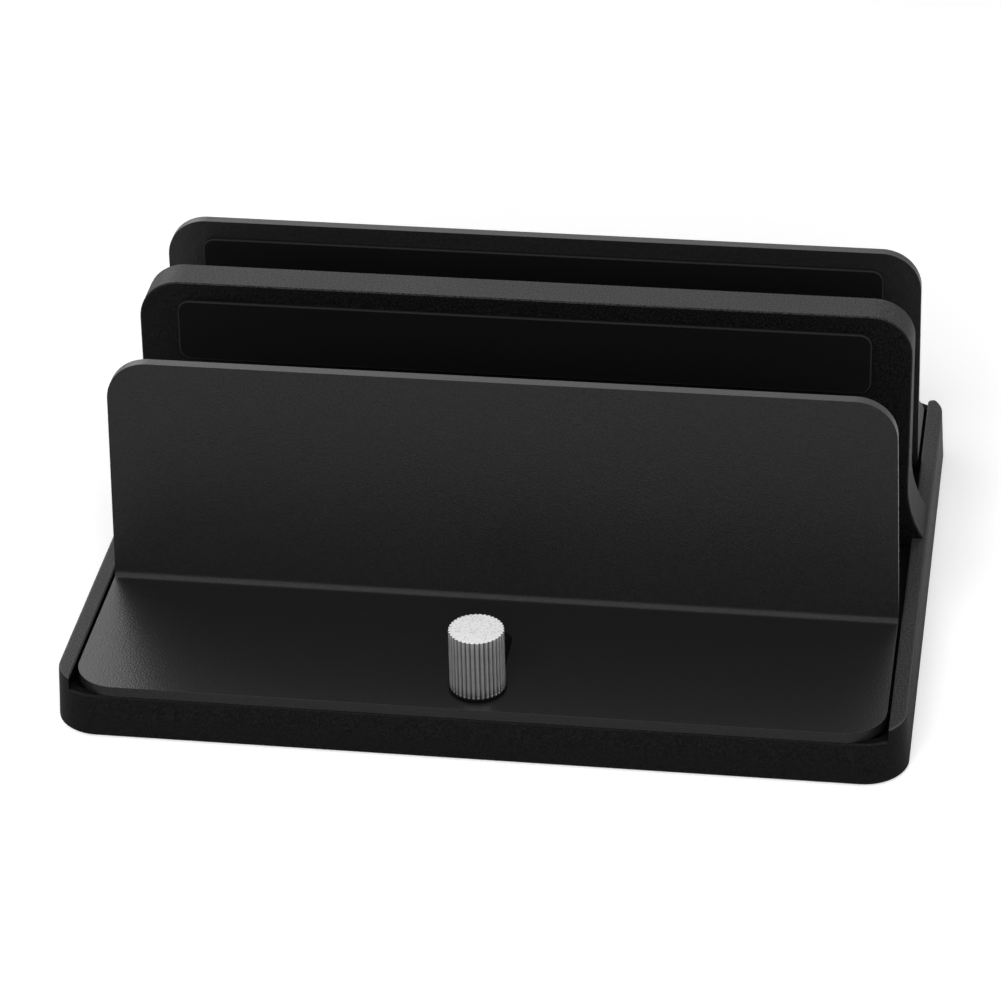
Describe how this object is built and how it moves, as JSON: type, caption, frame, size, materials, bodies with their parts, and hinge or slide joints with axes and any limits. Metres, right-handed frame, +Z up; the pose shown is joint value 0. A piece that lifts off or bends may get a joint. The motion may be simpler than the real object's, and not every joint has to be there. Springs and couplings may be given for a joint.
{
  "type": "vertical laptop stand",
  "caption": "Desk stand that holds closed laptops on edge in slots between a moulded divider and sliding bent plates, each clamped by a fluted thumb screw.",
  "frame": {"origin": "under the middle of the base, on the surface that the feet stand on", "axes": "+Z up, X along the slots, -Y towards the front plate with the long flange"},
  "size_m": [0.2014, 0.1614, 0.0738],
  "materials": {
    "base_plastic": "fine spark texture",
    "plate_metal": "satin black coat",
    "pad_rubber": "matte",
    "knob_metal": "satin",
    "washer_plastic": "matte",
    "screw_steel": "turned",
    "insert_brass": "turned",
    "foot_rubber": "matte"
  },
  "bodies": {
    "base": {"base_body": "base_plastic", "divider_front_pad": "pad_rubber", "divider_rear_pad": "pad_rubber", "front_floor_pad": "pad_rubber", "rear_floor_pad": "pad_rubber", "front_insert": "insert_brass", "rear_insert": "insert_brass", "front_left_foot": "foot_rubber", "rear_left_foot": "foot_rubber", "front_right_foot": "foot_rubber", "rear_right_foot": "foot_rubber"},
    "front_plate": {"front_plate": "plate_metal", "front_plate_pad": "pad_rubber"},
    "rear_plate": {"rear_plate": "plate_metal", "rear_plate_pad": "pad_rubber"},
    "front_washer": {"front_washer": "washer_plastic"},
    "front_knob": {"front_knob": "knob_metal", "front_screw": "screw_steel"},
    "rear_washer": {"rear_washer": "washer_plastic"},
    "rear_knob": {"rear_knob": "knob_metal", "rear_screw": "screw_steel"}
  },
  "joints": [
    {"name": "front_plate_slide", "type": "slide", "parent": "base", "child": "front_plate", "axis": [0, -1, 0], "range_m": [0, 0.02]},
    {"name": "rear_plate_slide", "type": "slide", "parent": "base", "child": "rear_plate", "axis": [0, 1, 0], "range_m": [0, 0.015]},
    {"name": "front_knob_lift", "type": "slide", "parent": "base", "child": "front_washer", "axis": [0, 0, 1], "range_m": [0, 0.001]},
    {"name": "front_knob_turn", "type": "hinge", "parent": "front_washer", "child": "front_knob", "pos_m": [0, -0.0704, 0.015], "axis": [0, 0, 1], "range_deg": [0, 360]},
    {"name": "rear_knob_lift", "type": "slide", "parent": "base", "child": "rear_washer", "axis": [0, 0, 1], "range_m": [0, 0.001]},
    {"name": "rear_knob_turn", "type": "hinge", "parent": "rear_washer", "child": "rear_knob", "pos_m": [0, 0.0704, 0.015], "axis": [0, 0, 1], "range_deg": [0, 360]}
  ],
  "couplings": [
    {"joint": "front_knob_lift", "follows": "front_knob_turn", "m_per_rad": 0.000159},
    {"joint": "rear_knob_lift", "follows": "rear_knob_turn", "m_per_rad": 0.000159}
  ]
}
